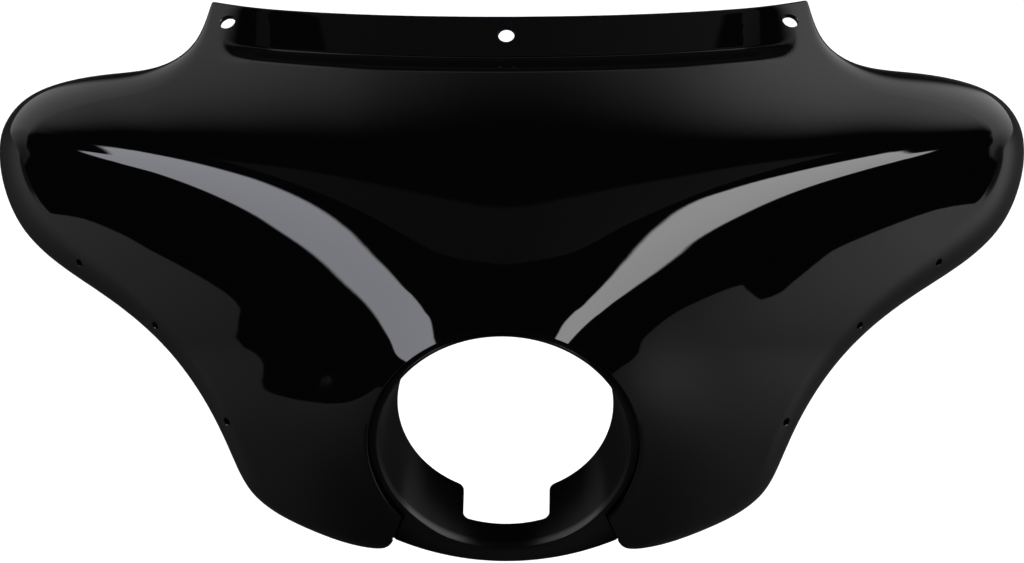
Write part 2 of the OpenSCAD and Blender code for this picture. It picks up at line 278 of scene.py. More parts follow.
@dataclass(frozen=True)
class BucketSizes:
    """Radii and depths of the headlamp bucket. Depths count from the skin's edge, backwards."""

    seat_r: float = 97.6
    seat_len: float = 6.0
    lip_w: float = 2.6
    step_w: float = 1.8
    groove_w: float = 2.6
    lip_setback: float = 3.3
    lip_round: float = 0.8
    step_depth: float = 5.0
    groove_depth: float = 8.0
    return_depth: float = 12.0
    return_wall: float = 3.2
    fit_gap: float = 0.3
    seat_flange: float = 3.0
    depth: float = 58.0
    bowl_taper: float = 13.2
    wall: float = 3.0
    bulge: float = 1.5
    notch_half: float = 34.0
    notch_len: float = 30.0
    notch_round: float = 5.0
    boss_stand: float = 12.0
    boss_r: float = 9.0
    boss_count: int = 4
    boss_short: float = 1.3
    insert_r: float = 4.0
    insert_len: float = 12.0
    insert_bore_r: float = 2.5

    @property
    def rear_r(self) -> float:
        """Radius of the rear opening."""
        return self.seat_r - self.bowl_taper

    @property
    def boss_pitch_r(self) -> float:
        """Radius of the circle of the bosses."""
        return self.rear_r + self.boss_stand

    @property
    def lip_r(self) -> float:
        """Outer radius of the lip."""
        return self.seat_r + self.lip_w

    @property
    def step_r(self) -> float:
        """Outer radius of the step."""
        return self.lip_r + self.step_w

    @property
    def open_r(self) -> float:
        """Radius of the skin's opening."""
        return self.step_r + self.groove_w

    @property
    def flange_r(self) -> float:
        """Outer radius of the flange that the skin's lip sits on."""
        return self.open_r + self.return_wall

    @property
    def behind_flange(self) -> float:
        """Depth of the flange's back."""
        return self.return_depth + self.seat_flange

    @property
    def rear_end(self) -> float:
        """Depth of the rear rim."""
        return self.lip_setback + self.depth

    @property
    def boss_end(self) -> float:
        """Depth of the bosses' rear faces."""
        return self.rear_end - self.boss_short


@dataclass(frozen=True)
class SkinForm:
    """The free form of the skin, as a depth over the mould plane."""

    plane: MouldPlane
    open_r: float
    wall: float = 3.8
    prow_sweep: float = 0.494
    prow_round: float = 53.0
    prow_bow: float = 3333.0
    ridge_w: float = -80.3
    ridge_v: float = 140.0
    ridge_rise: float = 134.0
    ridge_power: float = 0.8
    ridge_ease: float = 0.01
    sweep_x: float = 400.0
    deck_slope: float = 0.741
    front_bow: float = 588.0
    brow_soft: float = 140.0
    brow_flat: float = 20.0
    brow_reach: float = 240.0
    brow_power: float = 1.6
    brow_share: float = 0.4
    tuck: float = 22.0
    tuck_top: float = 80.0
    tuck_h: float = 170.0
    tuck_x: float = 200.0
    tuck_ease: float = 0.15
    collar: float = 90.0
    collar_past: float = 1.2
    flange_v: float = 341.0
    flange_half: float = 243.0
    flange_rise: float = 20.0
    flange_h: float = 33.0
    flange_blend: float = 14.0
    flange_drop: float = 3.0
    flange_tilt: float = 0.25
    flange_fade_from: float = 190.0
    flange_fade: float = 45.0

    def free_depth(self, x: np.ndarray, v: np.ndarray) -> np.ndarray:
        """Depth of the two blended sheets, front and deck.

        Args:
            x: how far to the right on the mould plane.
            v: how far up the mould plane.

        Returns:
            The depth behind the mould plane.
        """
        rise = (x * x / self.sweep_x**2 + self.ridge_ease) ** (self.ridge_power / 2)
        t = v - self.ridge_v - self.ridge_rise * (rise - self.ridge_ease ** (self.ridge_power / 2))
        swept = self.ridge_w + x * x / self.prow_bow
        swept = swept + self.prow_sweep * (np.sqrt(x * x + self.prow_round**2) - self.prow_round)
        low = np.maximum(0, (self.tuck_top - v) / self.tuck_h)
        low = (1 + self.tuck_ease) * low * low / (low + self.tuck_ease)
        tucked = self.tuck * low * np.abs(x) / self.tuck_x
        deck = swept + self.deck_slope * t
        front = swept + np.minimum(0, t) ** 2 / self.front_bow - tucked
        soft = self.brow_share * self.brow_soft
        reach = (x * x + self.brow_flat**2) / self.brow_reach**2
        soft = soft * np.exp(-(reach ** (self.brow_power / 2)))
        return (deck + front + np.sqrt((deck - front) ** 2 + soft * soft)) / 2

    def flange_edge(self, x: np.ndarray) -> np.ndarray:
        """Height of the flange's upper edge."""
        return self.flange_v + self.flange_rise * (x / self.flange_half) ** 2

    def depth(self, x: np.ndarray, v: np.ndarray) -> np.ndarray:
        """Depth of the skin's outside: the free form drawn on to the headlamp's rim, and the flange.

        Args:
            x: how far to the right on the mould plane.
            v: how far up the mould plane.

        Returns:
            The depth behind the mould plane.
        """
        lean = self.plane.lean
        z = v / math.cos(lean)
        angle = np.arctan2(z, x)
        rim_x = self.open_r * np.cos(angle)
        rim_v = self.open_r * np.sin(angle) * math.cos(lean)
        miss = -rim_v * math.tan(lean) - self.free_depth(rim_x, rim_v)
        f = np.clip(1 - (np.hypot(x, z) - self.open_r) / self.collar, 0, self.collar_past)
        under = self.flange_edge(x) - v
        step = ease((self.flange_h + self.flange_blend - under) / self.flange_blend)
        step = step * (1 - ease((np.abs(x) - self.flange_fade_from) / self.flange_fade))
        recess = self.flange_drop + self.flange_tilt * under
        return self.free_depth(x, v) + miss * f**3 * (4 - 3 * f) + recess * step

    def inner_depth(self, x: np.ndarray, v: np.ndarray) -> np.ndarray:
        """Depth of the skin's inside, one wall behind its outside.

        Args:
            x: how far to the right on the mould plane.
            v: how far up the mould plane.

        Returns:
            The depth behind the mould plane.
        """
        # Half of the millimetre over which the slope is taken
        h = 0.5
        across = self.depth(x + h, v) - self.depth(x - h, v)
        up = self.depth(x, v + h) - self.depth(x, v - h)
        return self.depth(x, v) + self.wall * np.sqrt(across**2 + up**2 + 1)


@dataclass(frozen=True)
class SkinOutline:
    """The skin's outline on the mould plane: a uniform cubic spline through mirrored poles.

    Each pole is x, v, the width of the rolled edge, and the angle on the opening that its section
    starts from. Widths are shares of roll_w and heights are shares of flange_v. Below the wing and on
    the flange x is a share of flange_half, and on the wing it is a share of the way to the tip.
    """

    lip_corner: tuple[float, float]
    half_span: float = 421.0
    flange_half: float = 243.0
    flange_v: float = 341.0
    roll_w: float = 31.0
    corner_out: float = 7.9
    corner_drop: float = 17.1
    corner_round: float = 4.0
    low: tuple[tuple[float, float, float, float], ...] = (
        (0.527, -0.223, 0.26, -35),
        (0.646, -0.192, 0.32, -31),
        (0.757, -0.157, 0.39, -26),
        (0.842, -0.111, 0.42, -21),
        (0.885, -0.053, 0.42, -15),
        (0.93, 0.029, 0.45, -7),
    )
    wing: tuple[tuple[float, float, float, float], ...] = (
        (0, 0.123, 0.48, 2),
        (0.135, 0.217, 0.52, 11),
        (0.303, 0.299, 0.58, 19),
        (0.5, 0.37, 0.68, 26),
        (0.713, 0.437, 0.81, 32),
        (0.888, 0.516, 0.9, 36.5),
        (0.98, 0.61, 0.97, 40),
        (1.018, 0.71, 1, 43),
        (0.984, 0.801, 1, 46),
        (0.876, 0.859, 0.94, 48.5),
        (0.702, 0.886, 0.84, 51),
        (0.506, 0.897, 0.74, 54),
        (0.309, 0.897, 0.61, 57),
        (0.163, 0.915, 0.45, 60),
    )
    flange: tuple[tuple[float, float, float, float], ...] = (
        (1.045, 0.959, 0.29, 62.5),
        (1.014, 1.018, 0.16, 64.5),
        (1, 1.065, 0.065, 66),
        (0.994, 1.065, 0.045, 67),
        (0.893, 1.048, 0.039, 69),
        (0.679, 1.027, 0.039, 75),
        (0.35, 1.007, 0.039, 82.5),
        (0, 1, 0.039, 90),
    )

    @property
    def corner(self) -> tuple[float, float]:
        """The wing's inner lower corner."""
        return (self.lip_corner[0] + self.corner_out, self.lip_corner[1] - self.corner_drop)

    def poles(self) -> np.ndarray:
        """All poles, from the left corner over the top to the right corner.

        Returns:
            One row for each pole: its place right and up, the roll's width and the angle of its column.
        """
        (cx, cv), turn = self.corner, self.corner_round
        corner = np.array([
            (cx, cv, 0.02 * self.roll_w, OPENING_FROM),
            (cx + turn, cv - 1.6 * turn, 0.12 * self.roll_w, -39.3),
            (cx + 3.75 * turn, cv - 1.9 * turn, 0.16 * self.roll_w, -38),
        ])
        units = [self.flange_half, self.flange_v, self.roll_w, 1]
        wing_units = [self.half_span - self.flange_half, self.flange_v, self.roll_w, 1]
        wing = np.array(self.wing) * wing_units + [self.flange_half, 0, 0, 0]
        right = np.vstack([corner, np.array(self.low) * units, wing, np.array(self.flange) * units])
        left = right * [-1, 1, 1, -1] + [0, 0, 0, 180]
        body = np.vstack([left, right[-2::-1]])
        return np.vstack([body[:1], body[:1], body, body[-1:], body[-1:]])

    def sample(self, t: np.ndarray) -> tuple[np.ndarray, np.ndarray]:
        """Points along the outline.

        Args:
            t: spline values, from 0 to the number of spans.

        Returns:
            The interpolated poles, and the outward normals on the mould plane.
        """
        poles = self.poles()
        top = len(poles) - 3

        def spline(s: np.ndarray) -> np.ndarray:
            """The cubic spline at s.

            Args:
                s: spline values.

            Returns:
                One row of pole values for each of them.
            """
            i = np.clip(np.floor(s).astype(int), 0, len(poles) - 4)
            f = (s - i)[:, None]
            g = 1 - f
            mid_a = 3 * f**3 - 6 * f**2 + 4
            mid_b = 3 * g**3 - 6 * g**2 + 4
            return (poles[i] * g**3 + poles[i + 1] * mid_a + poles[i + 2] * mid_b + poles[i + 3] * f**3) / 6

        step = 0.01
        along = spline(np.minimum(t + step, top)) - spline(np.maximum(t - step, 0))
        along = along[:, :2] / np.linalg.norm(along[:, :2], axis=1)[:, None]
        return spline(t), np.stack([-along[:, 1], along[:, 0]], axis=1)

    @property
    def spans(self) -> int:
        """Number of spans of the spline."""
        return len(self.poles()) - 3


@dataclass(frozen=True)
class GlossBlackLacquer:
    """Black base coat under clear lacquer on a moulded shell: a mirror for the lamps, black elsewhere."""

    colour: str = "#060607"
    roughness: float = 0.02
    # Orange peel: the soft waves of sprayed lacquer, about 6 mm from crest to crest
    peel_mm: float = 6.0
    peel_depth: float = 0.00005
    peel_strength: float = 0.05

    def build(self) -> bpy.types.Material:
        """Makes the material.

        Returns:
            The material.
        """
        material = bpy.data.materials.new("gloss_black_lacquer")
        material.use_nodes = True
        tree = material.node_tree
        shader = tree.nodes["Principled BSDF"]
        shader.inputs["Base Color"].default_value = linear(self.colour)
        shader.inputs["Roughness"].default_value = self.roughness
        shader.inputs["IOR"].default_value = IOR_OF_RESIN
        where = add_node(tree, "ShaderNodeTexCoord").outputs["Object"]
        peel = add_node(
            tree, "ShaderNodeTexNoise",
            Vector=where, Scale=1.0 / (self.peel_mm * MM), Detail=1.0, Roughness=0.4,
        )
        bump = add_node(
            tree, "ShaderNodeBump",
            Strength=self.peel_strength, Distance=self.peel_depth, Height=peel.outputs[0],
        )
        tree.links.new(bump.outputs[0], shader.inputs["Normal"])
        return material


@dataclass(frozen=True)
class SatinMouldedPlastic:
    """Injection moulded ABS with a spark-eroded grain: it spreads the lamps into soft grey gradients."""

    name: str = "satin_black_abs"
    colour: str = "#060607"
    roughness: float = 0.24
    # Grain of the tool's surface. The real one is about 0.3 mm; drawn at 0.9 mm so that it shows.
    grain_mm: float = 0.9
    grain_depth: float = 0.00004
    grain_strength: float = 0.3
    # Rubbed and dull patches, a few centimetres across
    rub_scale: float = 25.0
    rub_change: float = 0.03
    # Painted shade and painted highlight: the reflection is left strong at the lip and turned down deeper in
    # the bowl. It changes between these two places behind the lip
    painted_shade_from: float = 0.0
    painted_shade_to: float = 6.0
    painted_lip_sheen: float = 0.5
    painted_shade_shine: float = 0.07

    def build(self) -> bpy.types.Material:
        """Makes the material.

        Returns:
            The material.
        """
        material = bpy.data.materials.new(self.name)
        material.use_nodes = True
        tree = material.node_tree
        shader = tree.nodes["Principled BSDF"]
        shader.inputs["IOR"].default_value = IOR_OF_RESIN
        shader.inputs["Base Color"].default_value = linear(self.colour)
        where = add_node(tree, "ShaderNodeTexCoord").outputs["Object"]
        grain = add_node(
            tree, "ShaderNodeTexNoise", Vector=where, Scale=1.0 / (self.grain_mm * MM), Detail=2.0
        )
        rub = add_node(tree, "ShaderNodeTexNoise", Vector=where, Scale=self.rub_scale, Detail=3.0)
        rough = add_node(
            tree, "ShaderNodeMapRange", Value=rub.outputs[0],
            i3=self.roughness - self.rub_change, i4=self.roughness + self.rub_change,
        )
        bump = add_node(
            tree, "ShaderNodeBump",
            Strength=self.grain_strength, Distance=self.grain_depth, Height=grain.outputs[0],
        )
        apart = add_node(tree, "ShaderNodeSeparateXYZ", Vector=where)
        # Painted shade and highlight: the reflection level falls with depth behind the lip, which darkens the
        # bowl
        painted_shade_level = add_node(
            tree, "ShaderNodeMapRange", Value=apart.outputs["Y"],
            i1=self.painted_shade_from * MM, i2=self.painted_shade_to * MM, i3=self.painted_lip_sheen, i4=self.painted_shade_shine,
        )
        tree.links.new(painted_shade_level.outputs[0], shader.inputs["Specular IOR Level"])
        tree.links.new(rough.outputs[0], shader.inputs["Roughness"])
        tree.links.new(bump.outputs[0], shader.inputs["Normal"])
        return material


@dataclass(frozen=True)
class TurnedBrass:
    """Free-cutting brass, turned and knurled: warm metal with a fine uneven sheen."""

    colour: str = "#c9a45c"
    smoothest: float = 0.22
    roughest: float = 0.38
    ring_scale: float = 900.0

    def build(self) -> bpy.types.Material:
        """Makes the material.

        Returns:
            The material.
        """
        material = bpy.data.materials.new("turned_brass")
        material.use_nodes = True
        tree = material.node_tree
        shader = tree.nodes["Principled BSDF"]
        shader.inputs["Metallic"].default_value = 1.0
        shader.inputs["Base Color"].default_value = linear(self.colour)
        where = add_node(tree, "ShaderNodeTexCoord").outputs["Object"]
        rings = add_node(tree, "ShaderNodeTexNoise", Vector=where, Scale=self.ring_scale, Detail=2.0)
        rough = add_node(
            tree, "ShaderNodeMapRange", Value=rings.outputs[0], i3=self.smoothest, i4=self.roughest
        )
        tree.links.new(rough.outputs[0], shader.inputs["Roughness"])
        return material


@dataclass
class OuterSkin:
    """The gloss skin: a face, a rolled edge with a skirt, and a lip that turns in round the headlamp."""

    sizes: BucketSizes
    plane: MouldPlane
    form: SkinForm
    outline: SkinOutline
    edge_r: float = 1.6
    lip_edge: float = 2.6
    skirt_least: float = 3.5
    skirt_share: float = 0.46
    inset_least: float = 0.5
    inset_from: float = 2.0
    inset_over: float = 8.0
    columns_per_span: int = 6
    screen_hole_r: float = 6.5
    screen_hole_side: float = 15.0
    screen_hole_edge: float = 14.5
    side_hole_r: float = 3.1
    hole_chamfer: float = 0.5
    hole_sides: int = 48
    screen_holes: int = 3
    boss_r: float = 6.5
    boss_len: float = 7.0
    turn_columns: int = 8
    side_holes: tuple[tuple[float, float], ...] = ((17.47, 11.5), (19.4, 7.7), (21.83, 9.4))
    face_shares: np.ndarray = field(
        default_factory=lambda: np.concatenate(
            [np.linspace(0, 0.79, 52), np.linspace(0.8, 0.89, 20), np.linspace(0.9, 1, 8)]
        )
    )

    def inset(self, roll: np.ndarray) -> np.ndarray:
        """Wall of the skirt, which thins out where the edge is hardly rolled."""
        grown = ease((roll - self.inset_from) / self.inset_over)
        return self.inset_least + (self.form.wall - self.inset_least) * grown

    def ring(self, r: float, angle: np.ndarray, depth: np.ndarray) -> np.ndarray:
        """Points on a ring round the headlamp's axis."""
        y = np.broadcast_to(depth, angle.shape) + self.plane.edge_y
        return np.stack([r * np.cos(angle), y, r * np.sin(angle)], axis=-1)

    def eased(self, out: np.ndarray) -> np.ndarray:
        """Normals that turn over several columns at a sharp corner, so that the sections stay apart.

        Args:
            out: the outline's own normals, one for each column.

        Returns:
            The eased normals, of length one.
        """
        held = np.pad(out, ((self.turn_columns, self.turn_columns), (0, 0)), mode="edge")
        window = np.hanning(2 * self.turn_columns + 3)[1:-1]
        mixed = np.stack([np.convolve(held[:, k], window, mode="valid") for k in (0, 1)], axis=1)
        return mixed / np.linalg.norm(mixed, axis=1)[:, None]

    def rows(self) -> tuple[np.ndarray, np.ndarray]:
        """Points of the outside and the inside.

        Returns:
            Two arrays of rows, columns and coordinates, in millimetres.
        """
        form, plane = self.form, self.plane
        t = np.linspace(0, self.outline.spans, self.outline.spans * self.columns_per_span + 1)
        s, n = self.outline.sample(t)
        edge, roll, angle = s[:, :2], s[:, 2:3], np.radians(s[:, 3])
        n = self.eased(n)
        lean_c, lean_s = math.cos(plane.lean), math.sin(plane.lean)

        def on_face(q: np.ndarray, lift: np.ndarray | float = 0.0) -> np.ndarray:
            """A row of the outside over mould points."""
            return plane.to_frame(q[:, 0], q[:, 1], form.depth(q[:, 0], q[:, 1]) + lift)

        def on_inside(q: np.ndarray, lift: np.ndarray | float = 0.0) -> np.ndarray:
            """A row of the inside over mould points."""
            return plane.to_frame(q[:, 0], q[:, 1], form.inner_depth(q[:, 0], q[:, 1]) + lift)

        r = self.sizes.open_r + self.edge_r
        start = np.stack([r * np.cos(angle), r * np.sin(angle) * lean_c], axis=1)
        start_y = form.depth(start[:, 0], start[:, 1]) * lean_c + start[:, 1] * lean_s
        turn = np.radians(np.linspace(15, 90, 6))
        to = edge - n * roll
        width = self.inset(roll)
        inner_roll = np.maximum(self.inset_least, roll - width)
        inner_edge = edge - n * width
        inner_to = inner_edge - n * inner_roll
        last = form.depth(edge[:, 0], edge[:, 1]) + roll[:, 0]
        rim = last + self.skirt_least + self.skirt_share * roll[:, 0]
        least = form.inner_depth(inner_edge[:, 0], inner_edge[:, 1]) + inner_roll[:, 0] + self.inset_least
        rim = np.maximum(rim, least)
        rolls = np.radians(np.linspace(6, 90, 15))

        lip_depths = np.linspace(self.sizes.return_depth, self.lip_edge, 5)
        outside = [self.ring(self.sizes.open_r, angle, d) for d in lip_depths]
        for e in turn[::-1]:
            depth = start_y + self.edge_r * (1 - math.cos(e))
            outside.append(self.ring(r - self.edge_r * math.sin(e), angle, depth))
        outside += [on_face(start + (to - start) * f) for f in self.face_shares]
        outside += [on_face(to + n * roll * math.sin(e), roll[:, 0] * (1 - math.cos(e))) for e in rolls]
        for share in (0.33, 0.66, 1.0):
            outside.append(plane.to_frame(edge[:, 0], edge[:, 1], last + (rim - last) * share))

        back_r = self.sizes.open_r + self.sizes.return_wall
        y = np.full(len(t), form.wall)
        for _ in range(4):
            up = back_r * np.sin(angle) * lean_c + y * lean_s
            inner_start = np.stack([back_r * np.cos(angle), up], axis=1)
            y = form.inner_depth(inner_start[:, 0], inner_start[:, 1]) * lean_c + inner_start[:, 1] * lean_s
        lip_back = self.ring(back_r, angle, self.sizes.return_depth)
        lip_root = on_inside(inner_start)
        inside = [lip_back + (lip_root - lip_back) * f for f in (0, 0.33, 0.66)]
        inside += [on_inside(inner_start + (inner_to - inner_start) * f) for f in self.face_shares[::2]]
        inside += [
            on_inside(inner_to + n * inner_roll * math.sin(e), inner_roll[:, 0] * (1 - math.cos(e)))
            for e in rolls[1::2]
        ]
        inside.append(plane.to_frame(inner_edge[:, 0], inner_edge[:, 1], rim))
        return np.array(outside), np.array(inside)

    def blank(self) -> bpy.types.Object:
        """The skin before its holes are drilled, as one closed mesh.

        Returns:
            The skin's object.
        """
        outside, inside = self.rows()
        columns = outside.shape[1]
        start_in = outside.shape[0] * columns
        last_out, last_in = outside.shape[0] - 1, inside.shape[0] - 1
        faces, marks = [], []

        def band(a: int, b: int, mark: Face) -> None:
            """Quads between two rows that start at points a and b.

            Args:
                a: number of the one row's first point.
                b: number of the other row's first point.
                mark: what the quads are marked as.
            """
            for i in range(columns - 1):
                faces.append((a + i, b + i, b + i + 1, a + i + 1))
                marks.append(mark.value)

        for j in range(last_out):
            band((j + 1) * columns, j * columns, Face.SHOW)
        for j in range(last_in):
            band(start_in + j * columns, start_in + (j + 1) * columns, Face.HIDDEN)
        band(0, start_in, Face.SHOW)
        band(start_in + last_in * columns, last_out * columns, Face.SHOW)
        for column, turned in ((0, False), (columns - 1, True)):
            loop = [j * columns + column for j in range(last_out + 1)]
            loop += [start_in + j * columns + column for j in range(last_in, -1, -1)]
            faces.append(tuple(loop if turned else loop[::-1]))
            marks.append(Face.SHOW.value)
        points = np.concatenate([outside.reshape(-1, 3), inside.reshape(-1, 3)])
        return mesh_object("outer_skin", points, faces, marks)

    def hole_places(self) -> list[tuple[np.ndarray, np.ndarray, float]]:
        """Point, axis and radius of every hole.

        Returns:
            One entry for each hole: the point, the axis at no set length, and the radius.
        """
        form, plane = self.form, self.plane
        places = []

        def face_point(x: float, v: float) -> np.ndarray:
            """A point of the face."""
            return plane.to_frame(np.array(x), np.array(v), form.depth(np.array(x), np.array(v)))

        outer_x = self.outline.flange_half - self.screen_hole_side
        for x in (-outer_x, 0.0, outer_x):
            v = float(form.flange_edge(x)) - self.screen_hole_edge
            across = face_point(x + 1, v) - face_point(x - 1, v)
            up = face_point(x, v + 1) - face_point(x, v - 1)
            places.append((face_point(x, v), np.cross(across, up), self.screen_hole_r))

        def roll_point(t: float, inwards: float) -> np.ndarray:
            """A point of the rolled edge.

            Args:
                t: spline value along the outline.
                inwards: how far the point lies inside the outline.

            Returns:
                The point in the fairing's own frame.
            """
            s, n = self.outline.sample(np.array([t]))
            lift = s[0, 2] * (1 - math.cos(math.asin(1 - inwards / s[0, 2])))
            q = s[0, :2] - n[0] * inwards
            return plane.to_frame(q[0], q[1], form.depth(q[0], q[1]) + lift)

        for span, inwards in self.side_holes:
            for side in (-1, 1):
                t = self.outline.spans / 2 + side * span
                along = roll_point(t + 0.05, inwards) - roll_point(t - 0.05, inwards)
                out = roll_point(t, inwards - 0.5) - roll_point(t, inwards + 0.5)
                places.append((roll_point(t, inwards), np.cross(along, out), self.side_hole_r))
        return places

    def build(self, lacquer: bpy.types.Material, inner: bpy.types.Material) -> bpy.types.Object:
        """Makes the skin.

        Args:
            lacquer: finish of the outside.
            inner: finish of the inside.

        Returns:
            The finished piece.
        """
        skin = self.blank()
        skin.data.materials.append(lacquer)
        skin.data.materials.append(inner)
        wall = self.form.wall
        reach = 4 * wall
        for number, (point, axis, radius) in enumerate(self.hole_places()):
            turn = Vector(axis).normalized().to_track_quat("Z", "Y").to_matrix().to_4x4()
            seat = Matrix.Translation(Vector(point * MM)) @ turn
            if number >= self.screen_holes:
                # A short open boss behind each fixing hole takes its screw
                profile = [(self.boss_r, -self.boss_len), (self.boss_r, -wall / 2)]
                boss = round_bar("boss", profile, self.hole_sides)
                boss.data.transform(seat)
                boolean(skin, boss, BooleanKind.JOIN)
            rim = radius + self.hole_chamfer
            profile = [(radius, -reach), (radius, -self.hole_chamfer), (rim, 0.0), (rim, reach)]
            drill = round_bar("drill", profile, self.hole_sides)
            drill.data.transform(seat)
            boolean(skin, drill, BooleanKind.CUT)
        skin.data.set_sharp_from_angle(angle=math.radians(40))
        return skin


@dataclass
class HeadlightBucket:
    """The satin bucket: lip, stepped groove, bowl, chin and four bosses, moulded as one."""

    sizes: BucketSizes
    plane: MouldPlane
    lip_corner: tuple[float, float]
    corner: tuple[float, float]
    chin_depth: float = 4.4
    chin_slope: float = 0.34
    chin_drop: float = 6.5
    chin_r: float = 228.0
    chin_gap: float = 0.6
    chin_return: float = 9.0
    chin_reach: float = 36.0
    tongue_back: float = 6.6
    tongue_thick: float = 1.6
    tongue_reach: float = 3.6
    tongue_clear: float = 0.6
    rib_wide: float = 2.4
    # How far the block between the wings reaches up past the lip, to the front and to the back
    gap_up: float = 60.0
    gap_front: float = -120.0
    gap_back: float = 240.0
    notch_flare: float = 4.0
    turns: int = 360

    def turned(self, name: str, profile: list[tuple[float, float]]) -> bpy.types.Object:
        """Turns a closed profile round the headlamp's axis.

        Args:
            name: the object's name.
            profile: radius and depth of each corner, in order.

        Returns:
            The turned ring.
        """
        angle = np.linspace(0, 2 * math.pi, self.turns, endpoint=False)
        rings = []
        for r, d in profile:
            y = np.full(self.turns, d + self.plane.edge_y)
            rings.append(np.stack([r * np.cos(angle), y, r * np.sin(angle)], axis=1))
        faces = []
        count = len(profile)
        for k in range(count):
            a, b = k * self.turns, (k + 1) % count * self.turns
            for i in range(self.turns):
                j = (i + 1) % self.turns
                faces.append((a + i, a + j, b + j, b + i))
        return mesh_object(name, np.vstack(rings), faces)

    def bowl_r(self, share: float) -> float:
        """Inner radius of the bowl, from the seat's end at 0 to the rear opening at 1."""
        z = self.sizes
        return z.seat_r + (z.rear_r - z.seat_r) * share + 4 * z.bulge * share * (1 - share)

    def bowl_profile(self, grow: float, steps: int) -> list[tuple[float, float]]:
        """Points of the bowl's side.

        Args:
            grow: how far it stands outside the bowl's inner face.
            steps: number of steps from the seat's end to the rear rim.

        Returns:
            Radius and depth of each point, backwards.
        """
        z = self.sizes
        seat_end = z.lip_setback + z.lip_round + z.seat_len
        return [
            (self.bowl_r(i / steps) + grow, seat_end + (z.rear_end - seat_end) * i / steps)
            for i in range(steps + 1)
        ]

    def bowl(self) -> bpy.types.Object:
        """The lip, the groove and the bowl.

        Returns:
            The three as one turned object.
        """
        z = self.sizes
        arc = [math.radians(e) for e in range(0, 91, 15)]
        lip_in = [
            (z.seat_r + z.lip_round * (1 - math.sin(e)), z.lip_setback + z.lip_round * (1 - math.cos(e)))
            for e in arc
        ]
        lip_out = [(z.lip_r - (r - z.seat_r), d) for r, d in reversed(lip_in)]
        inside = self.bowl_profile(0.0, 24)
        outside = [p for p in reversed(self.bowl_profile(z.wall, 24)) if p[1] > z.behind_flange]
        collar_r = z.open_r - z.fit_gap
        groove = [
            (z.seat_r + z.wall, z.behind_flange),
            (z.flange_r, z.behind_flange),
            (z.flange_r, z.return_depth),
            (collar_r, z.return_depth),
            (collar_r, z.groove_depth),
            (z.step_r, z.groove_depth),
            (z.step_r, z.step_depth),
            (z.lip_r, z.step_depth),
        ]
        return self.turned("headlamp_bucket", lip_in + inside + outside + groove + lip_out)

    def wing_gap(self, inset: float, seam: float) -> bpy.types.Object:
        """The room between the two wings, down to the chin's lower edge.

        Args:
            inset: how far it stays above that edge.
            seam: how far it stays clear of each wing, or under it where negative.

        Returns:
            The room, as a closed block.
        """
        start = np.array(self.lip_corner)
        along = np.array(self.corner) - start
        along = along / np.linalg.norm(along)
        edge = start + seam * np.array([along[1], -along[0]])
        top = edge - along * self.gap_up
        low_r = self.chin_r - inset
        centre_v = self.chin_r - self.sizes.lip_r * math.cos(self.plane.lean) - self.chin_drop
        side_x = edge[0] + along[0] / along[1] * (centre_v - low_r * 0.92 - edge[1])
        swing = math.asin(min(1.0, side_x / low_r))
        for _ in range(20):
            v = centre_v - low_r * math.cos(swing)
            swing = math.asin((edge[0] + along[0] / along[1] * (v - edge[1])) / low_r)
        arc = np.linspace(swing, -swing, 49)
        outline = [(low_r * math.sin(a), centre_v - low_r * math.cos(a)) for a in arc]
        outline = [(top[0], top[1])] + outline + [(-top[0], top[1])]
        x, v = np.array(outline).T
        front, back = (self.plane.to_frame(x, v, np.array(w)) for w in (self.gap_front, self.gap_back))
        return block_between("wing_gap", front, back)

    def sheet(self, name: str, near: float, far: float, start: float, end: float) -> bpy.types.Object:
        """A conical sheet behind the chin's face.

        Args:
            name: the object's name.
            near: its inner radius.
            far: its outer radius.
            start: how far behind the face it starts.
            end: how far behind the face it ends.

        Returns:
            The sheet, with its faces outwards.
        """
        def depth(r: float) -> float:
            """The chin's face at a radius."""
            return self.chin_depth + self.chin_slope * (r - self.sizes.lip_r)

        made = self.turned(name, [
            (near, depth(near) + start), (far, depth(far) + start),
            (far, depth(far) + end), (near, depth(near) + end),
        ])
        outwards(made)
        return made

    def chin(self) -> bpy.types.Object:
        """The chin: a conical sheet below the lip with a return edge along its lower side.

        Returns:
            The chin's object.
        """
        z = self.sizes
        over = 1.0
        root_r = z.seat_r + z.lip_w / 2
        outer_r = z.lip_r + self.chin_reach
        outer_depth = self.chin_depth + self.chin_slope * self.chin_reach
        inner_depth = self.chin_depth + self.chin_slope * (z.flange_r - z.lip_r) + z.wall
        far = outer_depth + z.wall + 2 * self.chin_return
        block = self.turned("chin", [
            (root_r, self.chin_depth),
            (z.lip_r, self.chin_depth),
            (outer_r, outer_depth),
            (outer_r, outer_depth + self.chin_return),
            (z.flange_r, z.behind_flange),
            (root_r, z.behind_flange),
        ])
        hollow = self.turned("chin_hollow", [
            (z.flange_r, inner_depth),
            (outer_r + over, inner_depth + self.chin_slope * (outer_r + over - z.flange_r)),
            (outer_r + over, far),
            (z.flange_r, far),
        ])
        rib = self.sheet("rib", z.flange_r - over / 2, outer_r, z.wall - over,
                         self.tongue_back + self.tongue_thick + over / 2)
        tongue = self.sheet("tongue", z.flange_r + self.tongue_clear, outer_r, self.tongue_back,
                            self.tongue_back + self.tongue_thick)
        outwards(block)
        outwards(hollow)
        boolean(block, self.wing_gap(0.0, self.chin_gap), BooleanKind.KEEP)
        boolean(hollow, self.wing_gap(z.wall, self.chin_gap), BooleanKind.KEEP)
        boolean(block, hollow, BooleanKind.CUT)
        # A rib and a tongue along each side reach under the wing, so that no light shows through the seam
        sides = ((rib, 0.6, 0.1, self.rib_wide), (tongue, 0.2, -self.tongue_reach, self.rib_wide / 2))
        for made, above_edge, outer, inner in sides:
            boolean(made, self.wing_gap(above_edge, self.chin_gap + outer), BooleanKind.KEEP)
            boolean(made, self.wing_gap(-z.wall, self.chin_gap + inner), BooleanKind.CUT)
            boolean(block, made, BooleanKind.JOIN, Solver.MANIFOLD)
        return block

